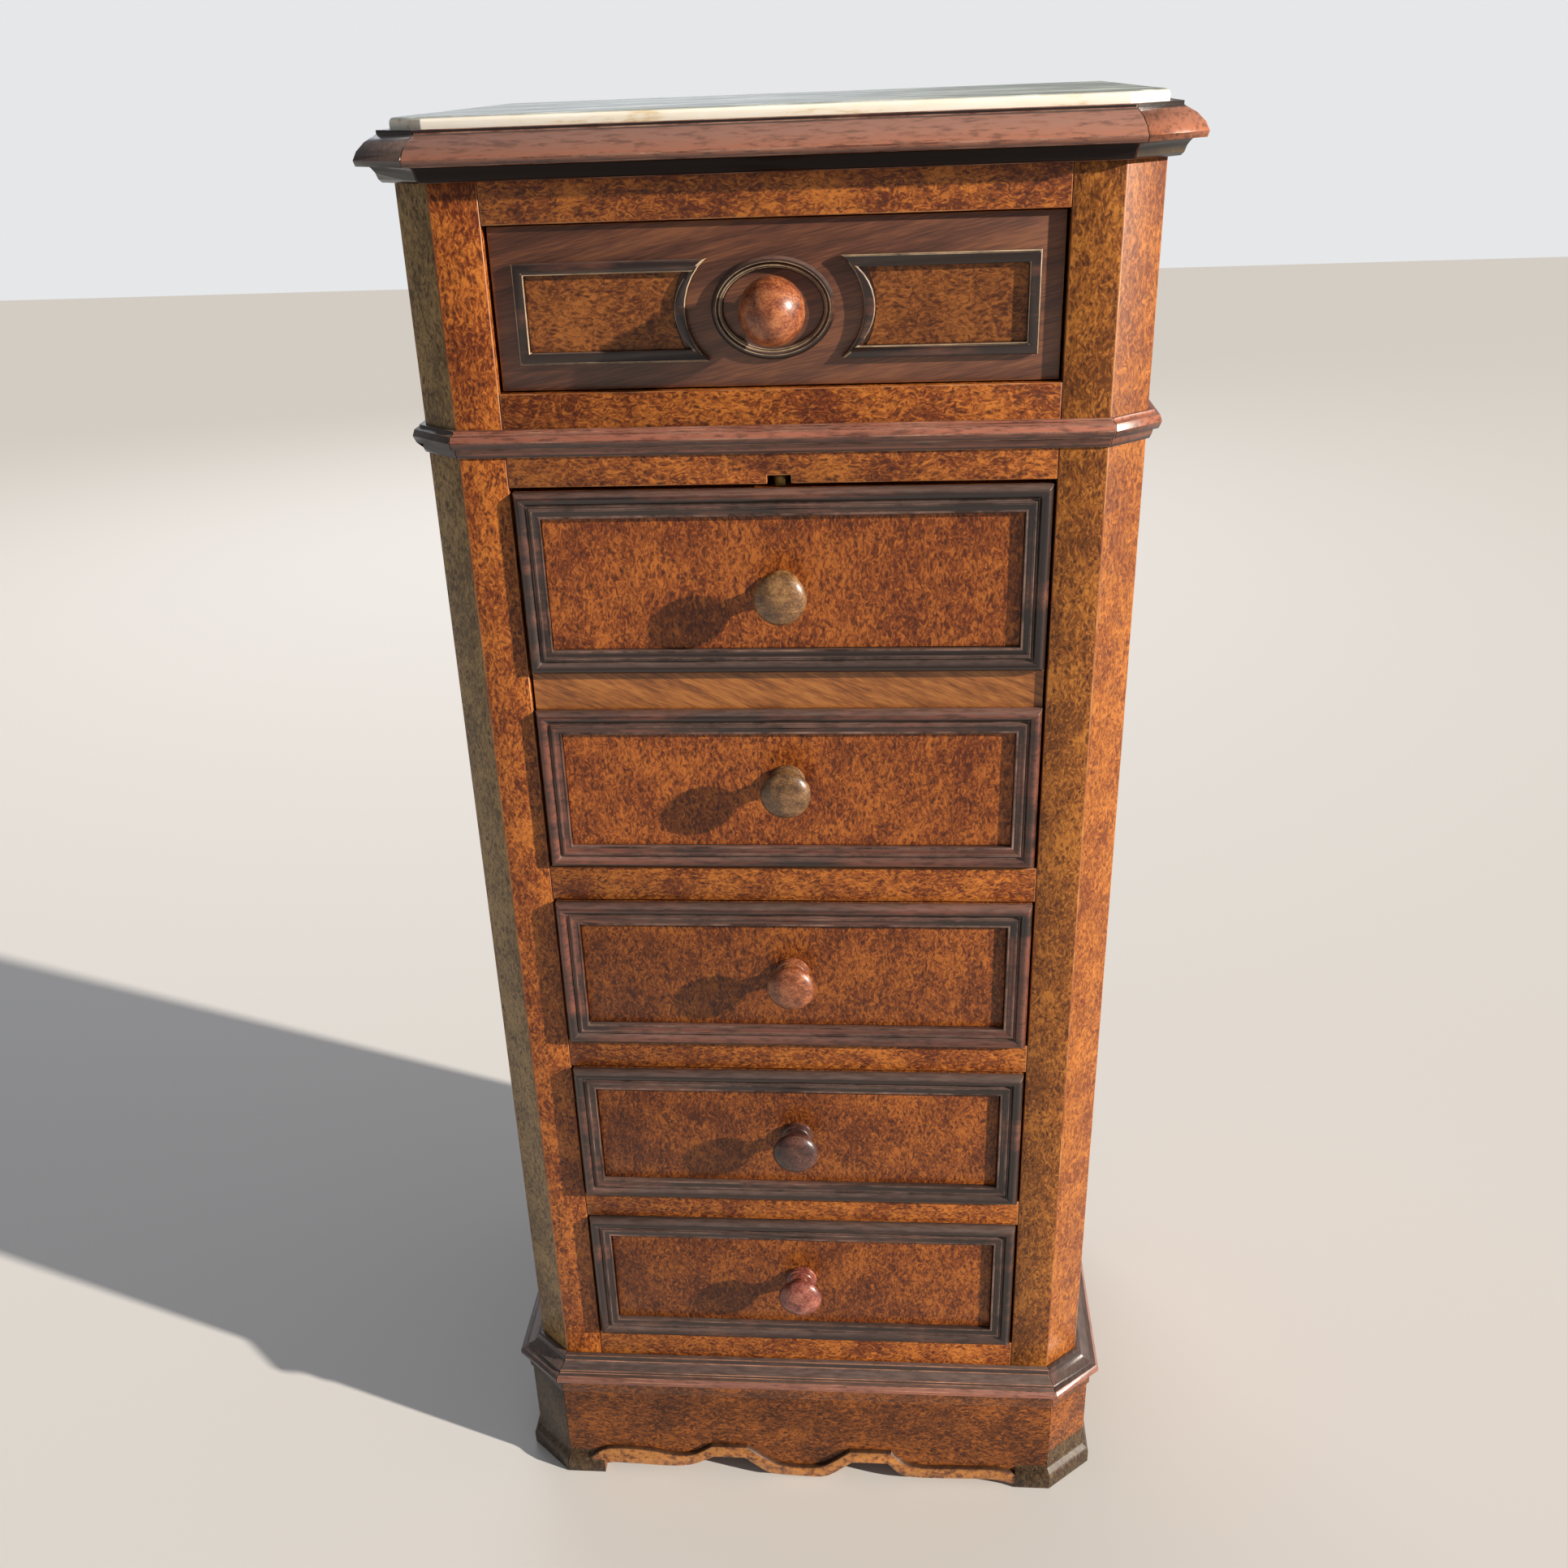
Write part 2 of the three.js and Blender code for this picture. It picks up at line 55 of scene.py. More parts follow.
Point = tuple[float, float]
Triple = tuple[float, float, float]
Colour = tuple[float, float, float, float]
Paint = Union[str, bpy.types.NodeSocket]


def linear(code: str) -> Colour:
    """Turns an sRGB hex colour into linear RGBA.

    Args:
        code: The colour as "#rrggbb".

    Returns:
        Red, green, blue and alpha, linear, from 0 to 1.
    """
    channels = []
    for start in (1, 3, 5):
        value = int(code[start : start + 2], 16) / 255
        channels.append(value / 12.92 if value <= 0.04045 else ((value + 0.055) / 1.055) ** 2.4)
    return (channels[0], channels[1], channels[2], 1.0)


def per_mm(size: float) -> float:
    """A texture scale, in cells per metre, whose features are about size millimetres."""
    return 1000.0 / size


def add_node(
    tree: bpy.types.NodeTree,
    kind: str,
    settings: Optional[dict[Any, Any]] = None,
    links: Optional[dict[Any, bpy.types.NodeSocket]] = None,
) -> bpy.types.Node:
    """Adds a node, sets it and links its inputs.

    Args:
        tree: The material's node tree.
        kind: The node's type, such as "ShaderNodeTexNoise".
        settings: Attribute names, input names or input numbers, with their values. "stops" gives
            a colour ramp's stops as pairs of a place and a hex colour.
        links: Input names or numbers, with the output socket each one is linked to.

    Returns:
        The new node.
    """
    node = tree.nodes.new(kind)
    for key, value in (settings or {}).items():
        if key == "stops":
            ramp = node.color_ramp
            while len(ramp.elements) < len(value):
                ramp.elements.new(1.0)
            for element, (place, code) in zip(ramp.elements, value):
                element.position = place
                element.color = linear(code)
        elif isinstance(key, str) and hasattr(node, key):
            setattr(node, key, value)
        else:
            node.inputs[key].default_value = value
    for key, socket in (links or {}).items():
        tree.links.new(socket, node.inputs[key])
    return node


def noise(
    tree: bpy.types.NodeTree,
    vector: bpy.types.NodeSocket,
    size: float,
    detail: float,
    roughness: float = 0.5,
    distortion: float = 0.0,
    output: str = "Fac",
) -> bpy.types.NodeSocket:
    """Adds a noise texture.

    Args:
        tree: The material's node tree.
        vector: Where the texture is read.
        size: Size of its features in millimetres.
        detail: How many finer layers it has.
        roughness: How strong those are.
        distortion: How far it is bent.
        output: The output that is wanted.

    Returns:
        That output.
    """
    settings = {"Scale": per_mm(size), "Detail": detail}
    settings.update({"Roughness": roughness, "Distortion": distortion})
    return add_node(tree, "ShaderNodeTexNoise", settings, {"Vector": vector}).outputs[output]


def spread(
    tree: bpy.types.NodeTree, value: bpy.types.NodeSocket, low: float, high: float, top: float = 1.0
) -> bpy.types.NodeSocket:
    """Stretches the range from low to high over 0 to top.

    Args:
        tree: The material's node tree.
        value: The value to stretch.
        low: Where the result is 0.
        high: Where the result is top.
        top: The largest result.

    Returns:
        The stretched value.
    """
    settings = {"From Min": low, "From Max": high, "To Max": top}
    return add_node(tree, "ShaderNodeMapRange", settings, {"Value": value}).outputs["Result"]


def blend(
    tree: bpy.types.NodeTree, amount: bpy.types.NodeSocket, first: Paint, second: Paint
) -> bpy.types.NodeSocket:
    """Mixes two colours.

    Args:
        tree: The material's node tree.
        amount: How much of the second colour is used.
        first: A hex colour or a socket.
        second: A hex colour or a socket.

    Returns:
        The mixed colour.
    """
    settings: dict[Any, Any] = {"data_type": "RGBA"}
    links: dict[Any, bpy.types.NodeSocket] = {0: amount}
    for number, paint in ((6, first), (7, second)):
        if isinstance(paint, str):
            settings[number] = linear(paint)
        else:
            links[number] = paint
    return add_node(tree, "ShaderNodeMix", settings, links).outputs[2]


def weighed(
    tree: bpy.types.NodeTree,
    first: bpy.types.NodeSocket,
    second: bpy.types.NodeSocket,
    share: float,
) -> bpy.types.NodeSocket:
    """Adds two values, each by its share.

    Args:
        tree: The material's node tree.
        first: The first value.
        second: The second value.
        share: The first value's share, from 0 to 1.

    Returns:
        The sum.
    """
    rest = add_node(
        tree, "ShaderNodeMath", {"operation": "MULTIPLY", 1: 1.0 - share}, {0: second}
    )
    settings = {"operation": "MULTIPLY_ADD", 1: share}
    return add_node(tree, "ShaderNodeMath", settings, {0: first, 2: rest.outputs[0]}).outputs[0]


def bump(
    tree: bpy.types.NodeTree, height: bpy.types.NodeSocket, strength: float, depth: float
) -> bpy.types.NodeSocket:
    """Adds fine relief, depth metres deep, and returns its normal."""
    settings = {"Strength": strength, "Distance": depth}
    return add_node(tree, "ShaderNodeBump", settings, {"Height": height}).outputs["Normal"]


def surface(
    tree: bpy.types.NodeTree,
    settings: dict[str, Any],
    links: Optional[dict[str, bpy.types.NodeSocket]] = None,
) -> None:
    """Adds the shader and the material's output.

    Args:
        tree: The material's node tree.
        settings: The shader's constants.
        links: The shader's linked inputs.
    """
    shader = add_node(tree, "ShaderNodeBsdfPrincipled", settings, links)
    add_node(tree, "ShaderNodeOutputMaterial", links={"Surface": shader.outputs[0]})


def new_tree(name: str) -> tuple[bpy.types.Material, bpy.types.NodeTree]:
    """Makes an empty node material.

    Args:
        name: The material's name.

    Returns:
        The material and its cleared node tree.
    """
    material = bpy.data.materials.new(name)
    material.use_nodes = True
    material.node_tree.nodes.clear()
    return material, material.node_tree


class Grain(Enum):
    """Which way the figure of a veneer or the grain of a board runs."""

    UPRIGHT = (1.0, 1.0, 0.5)
    ACROSS = (0.5, 1.0, 1.0)


@dataclass(frozen=True)
class BurlVeneer:
    """Thuya burl, French polished: orange ground full of small dark curls and eyes."""

    name: str
    dark: str = "#55230d"
    mid: str = "#824219"
    light: str = "#ad6327"
    eye: str = "#3a170a"
    place: Triple = (0.0, 0.0, 0.0)
    grain: Grain = Grain.UPRIGHT
    eyes: float = 0.8
    roughness: float = 0.4

    def material(self) -> bpy.types.Material:
        """Builds the node material."""
        material, tree = new_tree(self.name)
        coords = add_node(tree, "ShaderNodeTexCoord")
        placed = add_node(
            tree,
            "ShaderNodeMapping",
            {"Location": self.place},
            {"Vector": coords.outputs["Object"]},
        )
        # slow swirl that bends the figure, about 12 mm across
        swirl = noise(tree, placed.outputs["Vector"], 12, 2.0, output="Color")
        bent = add_node(
            tree,
            "ShaderNodeVectorMath",
            {"operation": "MULTIPLY_ADD", 1: (0.007, 0.007, 0.007)},
            {0: swirl, 2: placed.outputs["Vector"]},
        )
        drawn = add_node(
            tree,
            "ShaderNodeMapping",
            {"Scale": self.grain.value},
            {"Vector": bent.outputs["Vector"]},
        )
        clouds = noise(tree, bent.outputs["Vector"], 30, 2.0, 0.5)
        # curls of the burl, drawn 2 mm wide; the finest real ones are too small to show
        curls = noise(tree, drawn.outputs["Vector"], 2.2, 5.0, 0.7, 1.3)
        figure = weighed(tree, clouds, curls, 0.25)
        ground = add_node(
            tree,
            "ShaderNodeValToRGB",
            {"stops": [(0.42, self.dark), (0.5, self.mid), (0.585, self.light)]},
            {"Fac": figure},
        )
        # eyes: dark knots about 2.4 mm apart, in drifts
        cells = add_node(
            tree,
            "ShaderNodeTexVoronoi",
            {"Scale": per_mm(2.4)},
            {"Vector": drawn.outputs["Vector"]},
        )
        dots = spread(tree, cells.outputs["Distance"], 0.5, 0.2)
        drifts = noise(tree, placed.outputs["Vector"], 8, 4.0, 0.6)
        where = spread(tree, drifts, 0.42, 0.54, self.eyes)
        shown = add_node(
            tree,
            "ShaderNodeMath",
            {"operation": "MULTIPLY"},
            {0: dots, 1: where},
        )
        colour = blend(tree, shown.outputs[0], ground.outputs["Color"], self.eye)
        sheen = add_node(
            tree,
            "ShaderNodeMapRange",
            {"To Min": self.roughness - 0.08, "To Max": self.roughness + 0.12},
            {"Value": drifts},
        )
        relief = bump(tree, figure, 0.3, 0.0003)
        surface(
            tree,
            {
                "IOR": 1.5,
                "Specular IOR Level": 0.3,
                "Coat Weight": 0.12,
                "Coat Roughness": 0.14,
            },
            {
                "Base Color": colour,
                "Roughness": sheen.outputs["Result"],
                "Normal": relief,
            },
        )
        return material


@dataclass(frozen=True)
class StraightWood:
    """Plain sawn or planed wood: long fibres with darker pores, polished or raw."""

    name: str
    dark: str
    mid: str
    light: str
    stretch: Triple = (0.06, 1.0, 1.0)
    turn: float = 0.0
    band: float = 7.0
    roughness: float = 0.42
    coat: float = 0.2

    def material(self) -> bpy.types.Material:
        """Builds the node material."""
        material, tree = new_tree(self.name)
        coords = add_node(tree, "ShaderNodeTexCoord")
        turned = add_node(
            tree,
            "ShaderNodeMapping",
            {"Rotation": (0.0, math.radians(self.turn), 0.0)},
            {"Vector": coords.outputs["Object"]},
        )
        drawn = add_node(
            tree, "ShaderNodeMapping", {"Scale": self.stretch}, {"Vector": turned.outputs["Vector"]}
        )
        bands = noise(tree, drawn.outputs["Vector"], self.band, 4.0, 0.6, 0.4)
        pores = noise(tree, drawn.outputs["Vector"], 0.9, 2.0)
        fibre = weighed(tree, pores, bands, 0.4)
        colour = add_node(
            tree,
            "ShaderNodeValToRGB",
            {"stops": [(0.38, self.dark), (0.5, self.mid), (0.62, self.light)]},
            {"Fac": fibre},
        )
        relief = bump(tree, pores, 0.3, 0.0003)
        surface(
            tree,
            {
                "IOR": 1.5,
                "Roughness": self.roughness,
                "Coat Weight": self.coat,
                "Coat Roughness": 0.2,
            },
            {"Base Color": colour.outputs["Color"], "Normal": relief},
        )
        return material


@dataclass(frozen=True)
class WornEbonised:
    """Hardwood stained black and polished, rubbed back to brown along its fibres.

    Its upward faces are greyed as a painted reflection of the sky, patchy along its fibres, and its
    downward faces are darkened to near black as painted shade.
    """

    name: str
    black: str = "#241612"
    rubbed: str = "#6b4030"
    reflection_grey: str = "#8a756e"
    worn: float = 0.5
    painted_reflection: float = 0.62
    gloss: float = 0.4
    specular: float = 0.5
    place: Triple = (0.0, 0.0, 0.0)
    stretch: Triple = (0.2, 1.0, 1.0)

    def material(self) -> bpy.types.Material:
        """Builds the node material."""
        material, tree = new_tree(self.name)
        coords = add_node(tree, "ShaderNodeTexCoord")
        drawn = add_node(
            tree,
            "ShaderNodeMapping",
            {"Location": self.place, "Scale": self.stretch},
            {"Vector": coords.outputs["Object"]},
        )
        rub = noise(tree, drawn.outputs["Vector"], 20, 7.0, 0.68)
        amount = spread(tree, rub, 0.62 - 0.35 * self.worn, 0.8 - 0.35 * self.worn)
        ground = blend(tree, amount, self.black, self.rubbed)
        # fibres: dark streaks 1 to 2 mm wide along the moulding
        fibres = noise(tree, drawn.outputs["Vector"], 2.2, 4.0, 0.6)
        streaks = spread(tree, fibres, 0.5, 0.36, 0.6)
        streaked = blend(tree, streaks, ground, self.black)
        parts = add_node(tree, "ShaderNodeSeparateXYZ", links={"Vector": coords.outputs["Normal"]})
        # painted reflection: faces turned up are greyed towards the sky's grey, more the more they
        # face up
        upper = spread(tree, parts.outputs["Z"], 0.2, 0.75, self.painted_reflection)
        patchy = add_node(
            tree,
            "ShaderNodeMath",
            {"operation": "MULTIPLY"},
            {0: upper, 1: fibres},
        )
        with_painted_reflection = blend(tree, patchy.outputs[0], streaked, self.reflection_grey)
        # painted shade: faces turned down are darkened to near black
        underside_shade = spread(tree, parts.outputs["Z"], -0.1, -0.5)
        colour = blend(tree, underside_shade, with_painted_reflection, "#170d0a")
        relief = bump(tree, fibres, 0.35, 0.0003)
        surface(
            tree,
            {
                "IOR": 1.5,
                "Roughness": 0.33,
                "Specular IOR Level": self.specular,
                "Coat Weight": self.gloss,
                "Coat Roughness": 0.18,
            },
            {"Base Color": colour, "Normal": relief},
        )
        return material


@dataclass(frozen=True)
class WornBead:
    """The apron's carved bead: stained black above, rubbed to bare golden wood below."""

    name: str
    black: str = "#2c1c16"
    gold: str = "#b57838"
    brown: str = "#814a20"

    def material(self) -> bpy.types.Material:
        """Builds the node material."""
        material, tree = new_tree(self.name)
        coords = add_node(tree, "ShaderNodeTexCoord")
        wear = noise(tree, coords.outputs["Object"], 5, 5.0, 0.7)
        bare = add_node(
            tree,
            "ShaderNodeValToRGB",
            {"stops": [(0.33, self.black), (0.43, self.brown), (0.56, self.gold)]},
            {"Fac": wear},
        )
        parts = add_node(tree, "ShaderNodeSeparateXYZ", links={"Vector": coords.outputs["Normal"]})
        upper = spread(tree, parts.outputs["Z"], 0.1, 0.55, 0.9)
        colour = blend(tree, upper, bare.outputs["Color"], self.black)
        surface(
            tree,
            {"IOR": 1.5, "Roughness": 0.4, "Coat Weight": 0.3, "Coat Roughness": 0.2},
            {"Base Color": colour},
        )
        return material


@dataclass(frozen=True)
class RubbedArris:
    """A sharp edge where handling has worn the stain or polish off in broken lengths."""

    name: str
    stained: str = "#3a241d"
    bare: str = "#8e6c5a"
    worn: float = 0.5
    stretch: Triple = (0.35, 1.0, 0.35)

    def material(self) -> bpy.types.Material:
        """Builds the node material."""
        material, tree = new_tree(self.name)
        coords = add_node(tree, "ShaderNodeTexCoord")
        drawn = add_node(
            tree, "ShaderNodeMapping", {"Scale": self.stretch}, {"Vector": coords.outputs["Object"]}
        )
        lengths = noise(tree, drawn.outputs["Vector"], 12, 8.0, 0.75)
        amount = spread(tree, lengths, 0.56 - 0.3 * self.worn, 0.84 - 0.3 * self.worn)
        colour = blend(tree, amount, self.stained, self.bare)
        surface(
            tree,
            {"IOR": 1.5, "Roughness": 0.45},
            {"Base Color": colour},
        )
        return material


@dataclass(frozen=True)
class StreakedMarble:
    """Grey-green marble with pale flecks and streaks, weathered matt; its side faces take a lighter
    cream as painted sunlight on the edge.
    """

    name: str
    base: str = "#7f8a86"
    streak: str = "#c6ccc6"
    vein: str = "#58625f"
    edge: str = "#f3ebda"
    tan: str = "#dcc7a2"

    def material(self) -> bpy.types.Material:
        """Builds the node material."""
        material, tree = new_tree(self.name)
        coords = add_node(tree, "ShaderNodeTexCoord")
        drawn = add_node(
            tree,
            "ShaderNodeMapping",
            {"Scale": (0.2, 1.0, 1.0), "Rotation": (0.0, 0.0, 0.12)},
            {"Vector": coords.outputs["Object"]},
        )
        bands = noise(tree, drawn.outputs["Vector"], 16, 8.0, 0.72, 0.6)
        face = add_node(
            tree,
            "ShaderNodeValToRGB",
            {"stops": [(0.38, self.vein), (0.49, self.base), (0.62, self.streak)]},
            {"Fac": bands},
        )
        # fine tan veins along the edge, 2 mm deep
        stains = noise(tree, drawn.outputs["Vector"], 7, 6.0, 0.65)
        rim = add_node(
            tree,
            "ShaderNodeValToRGB",
            {"stops": [(0.32, self.tan), (0.41, self.edge), (0.6, "#f8f4ea")]},
            {"Fac": stains},
        )
        parts = add_node(tree, "ShaderNodeSeparateXYZ", links={"Vector": coords.outputs["Normal"]})
        # painted sunlight: faces turned to the side take the lighter cream of the edge
        side = spread(tree, parts.outputs["Z"], 0.95, 0.6)
        both = blend(tree, side, face.outputs["Color"], rim.outputs["Color"])
        relief = bump(tree, bands, 0.2, 0.0004)
        surface(
            tree,
            {"IOR": 1.5, "Roughness": 0.5},
            {"Base Color": both, "Normal": relief},
        )
        return material


@dataclass(frozen=True)
class DullBrass:
    """Cast brass, tarnished by handling."""

    name: str

    def material(self) -> bpy.types.Material:
        """Builds the node material."""
        material, tree = new_tree(self.name)
        coords = add_node(tree, "ShaderNodeTexCoord")
        film = noise(tree, coords.outputs["Object"], 3, 4.0)
        colour = add_node(
            tree,
            "ShaderNodeValToRGB",
            {"stops": [(0.35, "#5e4c2c"), (0.65, "#a8894f")]},
            {"Fac": film},
        )
        surface(
            tree,
            {"Metallic": 1.0, "Roughness": 0.42},
            {"Base Color": colour.outputs["Color"]},
        )
        return material


def only(obj: bpy.types.Object) -> None:
    """Makes obj the one selected and active object."""
    bpy.ops.object.select_all(action="DESELECT")
    obj.select_set(True)
    bpy.context.view_layer.objects.active = obj


def edit(obj: bpy.types.Object) -> None:
    """Goes into edit mode on obj with everything in it selected."""
    only(obj)
    bpy.ops.object.mode_set(mode="EDIT")
    bpy.ops.mesh.select_mode(type="FACE")
    bpy.ops.mesh.select_all(action="SELECT")


def leave() -> bpy.types.Object:
    """Goes back to object mode, settles the object at the origin and returns it."""
    bpy.ops.object.mode_set(mode="OBJECT")
    bpy.ops.object.transform_apply(location=True, rotation=True, scale=True)
    return bpy.context.active_object


def dress(obj: bpy.types.Object, materials: Sequence[bpy.types.Material]) -> None:
    """Gives obj its materials, in slot order."""
    obj.data.materials.clear()
    for material in materials:
        obj.data.materials.append(material)


def bevel_edges(obj: bpy.types.Object, width: float, angle: float = 35.0) -> None:
    """Rounds the sharp edges of obj. The roundings take its second material, if it has one.

    Args:
        obj: The mesh object, dressed.
        width: Width of the rounding in millimetres.
        angle: Only edges sharper than this many degrees are rounded.
    """
    only(obj)
    rounding = obj.modifiers.new("arris", "BEVEL")
    rounding.width = width * MM
    rounding.segments = 2
    rounding.limit_method = "ANGLE"
    rounding.angle_limit = math.radians(angle)
    rounding.material = len(obj.data.materials) - 1
    bpy.ops.object.modifier_apply(modifier=rounding.name)
    bpy.ops.object.shade_smooth_by_angle(angle=SMOOTH)


def finish_piece(
    obj: bpy.types.Object, name: str, body: str, nodes: Iterable[str] = ()
) -> None:
    """Names a piece and puts it on its body.

    Args:
        obj: The finished and dressed mesh object, at the origin.
        name: The piece's name.
        body: The CAD body it rides on.
        nodes: CAD nodes that it stands for.
    """
    obj.name = name
    obj.data.name = name
    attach(obj, body)
    if nodes:
        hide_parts(*nodes)
    log.info("%s on %s", name, body)


def merged_copy(node: str, plain: bool = True) -> bpy.types.Object:
    """A copy of a CAD node with its loose triangles merged.

    Args:
        node: The CAD node's name.
        plain: Also joins triangles that lie in one plane into one face.

    Returns:
        The copy.
    """
    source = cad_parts[node]
    obj = bpy.data.objects.new(node + "_work", source.data.copy())
    bpy.context.scene.collection.objects.link(obj)
    edit(obj)
    bpy.ops.mesh.remove_doubles(threshold=WELD)
    if plain:
        bpy.ops.mesh.dissolve_limited(angle_limit=math.radians(0.5))
    bpy.ops.object.mode_set(mode="OBJECT")
    return obj


def push_out(distance: float) -> None:
    """Extrudes the selected faces towards the front by a distance in millimetres."""
    bpy.ops.mesh.extrude_region_move(TRANSFORM_OT_translate={"value": (0, -distance * MM, 0)})


def raise_moulding(profile: Sequence[Point]) -> None:
    """Raises a mitred moulding round the one selected face, which faces the front.

    Args:
        profile: Points from the outer edge inwards, each (in from the edge, out from the face's
            plane), in millimetres.
    """
    push_out(profile[0][1])
    for (u0, p0), (u1, p1) in zip(profile, profile[1:]):
        bpy.ops.mesh.inset(
            thickness=(u1 - u0) * MM, depth=(p1 - p0) * MM, use_even_offset=True
        )
    push_out(-profile[-1][1])
    obj = bpy.context.active_object
    bpy.ops.object.mode_set(mode="OBJECT")
    lowest = max((obj.matrix_world @ v.co).y for v in obj.data.vertices)
    for polygon in obj.data.polygons:
        points = [(obj.matrix_world @ obj.data.vertices[i].co).y for i in polygon.vertices]
        polygon.select = min(points) > lowest - 2 * WELD
    bpy.ops.object.mode_set(mode="EDIT")
    bpy.ops.mesh.delete(type="ONLY_FACE")
    bpy.ops.mesh.select_mode(type="EDGE")
    bpy.ops.mesh.select_all(action="DESELECT")
    bpy.ops.mesh.select_non_manifold()
    bpy.ops.mesh.bridge_edge_loops()
    bpy.ops.mesh.select_all(action="SELECT")
    bpy.ops.mesh.normals_make_consistent(inside=False)


def rectangle(x0: float, x1: float, z0: float, z1: float, plane: float) -> None:
    """Adds a rectangle facing the front, ready to be shaped in edit mode.

    Args:
        x0: Left edge, in millimetres.
        x1: Right edge.
        z0: Lower edge.
        z1: Upper edge.
        plane: How far it is behind the carcass's face.
    """
    bpy.ops.object.select_all(action="DESELECT")
    centre = ((x0 + x1) / 2 * MM, FRONT_Y + plane * MM, (z0 + z1) / 2 * MM)
    bpy.ops.mesh.primitive_plane_add(size=1.0, location=centre, rotation=(math.pi / 2, 0, 0))
    bpy.ops.object.transform_apply(location=False, rotation=True, scale=False)
    edit(bpy.context.active_object)
    bpy.ops.transform.resize(
        value=((x1 - x0) * MM, 1.0, (z1 - z0) * MM), center_override=centre
    )


FRAME_PROFILE: tuple[Point, ...] = (
    (0.0, 2.4),
    (0.3, 3.6),
    (1.1, 5.3),
    (2.2, 6.5),
    (3.4, 7.0),
    (4.6, 6.7),
    (5.8, 5.7),
    (6.5, 4.7),
    (6.9, 4.1),
    (7.7, 4.1),
    (8.0, 5.2),
    (8.6, 5.7),
    (9.6, 5.6),
    (10.2, 5.0),
    (11.6, 4.6),
    (12.8, 4.5),
    (13.2, 4.9),
    (13.7, 4.9),
    (14.0, 4.5),
)
SMALL_PROFILE: tuple[Point, ...] = (
    (0.0, 1.2),
    (0.3, 2.3),
    (1.2, 3.4),
    (2.4, 3.8),
    (3.4, 3.4),
    (3.9, 2.8),
    (4.3, 3.0),
    (5.2, 2.8),
    (5.8, 1.6),
    (6.0, 0.9),
)


@dataclass
class TurnedKnob:
    """A head on a neck and a ringed collar, turned in one piece and fixed to a drawer front."""

    name: str
    body: str
    height: float
    face: float
    finish: bpy.types.Material
    ball: float = 14.4
    stand: float = 19.0
    neck: float = 5.2
    collar: float = 10.2
    flat: float = 6.4
    steps: int = 14

    def profile(self) -> list[Point]:
        """The turned outline, as (radius, distance in front of the face) in millimetres."""
        c = self.collar
        rings = [
            (c, 0.1),
            (c, 1.1),
            (c * 0.97, 1.6),
            (c * 0.9, 1.8),
            (c * 0.95, 2.3),
            (c * 0.95, 3.0),
            (c * 0.88, 3.4),
            (c * 0.8, 3.6),
            (c * 0.82, 4.1),
            (c * 0.78, 4.7),
            (c * 0.66, 5.0),
            (self.neck, 5.3),
        ]
        start = math.asin(self.neck / self.ball)
        low = self.stand - self.flat * math.cos(start)
        rings.append((self.neck * 0.94, (low + rings[-1][1]) / 2))
        for i in range(self.steps + 1):
            angle = start + (math.pi * 0.975 - start) * i / self.steps
            rings.append((self.ball * math.sin(angle), self.stand - self.flat * math.cos(angle)))
        return rings

    def build(self) -> None:
        """Turns the knob by extruding and scaling rings, and dresses it."""
        points = self.profile()
        radius, out = points[0]
        centre = (0.0, FRONT_Y + (self.face - out) * MM, self.height * MM)
        bpy.ops.object.select_all(action="DESELECT")
        bpy.ops.mesh.primitive_circle_add(
            vertices=48,
            radius=radius * MM,
            fill_type="NGON",
            location=centre,
            rotation=(math.pi / 2, 0, 0),
        )
        edit(bpy.context.active_object)
        for (r0, p0), (r1, p1) in zip(points, points[1:]):
            push_out(p1 - p0)
            bpy.ops.transform.resize(
                value=(r1 / r0, 1.0, r1 / r0),
                center_override=(0.0, FRONT_Y + (self.face - p1) * MM, self.height * MM),
            )
        bpy.ops.mesh.select_all(action="SELECT")
        bpy.ops.mesh.normals_make_consistent(inside=False)
        obj = leave()
        bpy.ops.object.shade_smooth_by_angle(angle=math.radians(38))
        dress(obj, [self.finish])
        finish_piece(obj, self.name + "_turned", self.body, [self.name])


@dataclass
class FramedFront:
    """One ebonised picture-frame moulding on a drawer front or on the flap."""

    name: str
    body: str
    low: float
    high: float
    plane: float
    finish: Sequence[bpy.types.Material]

    def build(self) -> None:
        """Raises the moulding from a rectangle and dresses it."""
        rectangle(-FRONT_HALF, FRONT_HALF, self.low, self.high, self.plane - 0.1)
        raise_moulding(FRAME_PROFILE)
        obj = leave()
        dress(obj, self.finish)
        bevel_edges(obj, 0.28, 38.0)
        finish_piece(obj, self.name + "_mitred", self.body, [self.name])


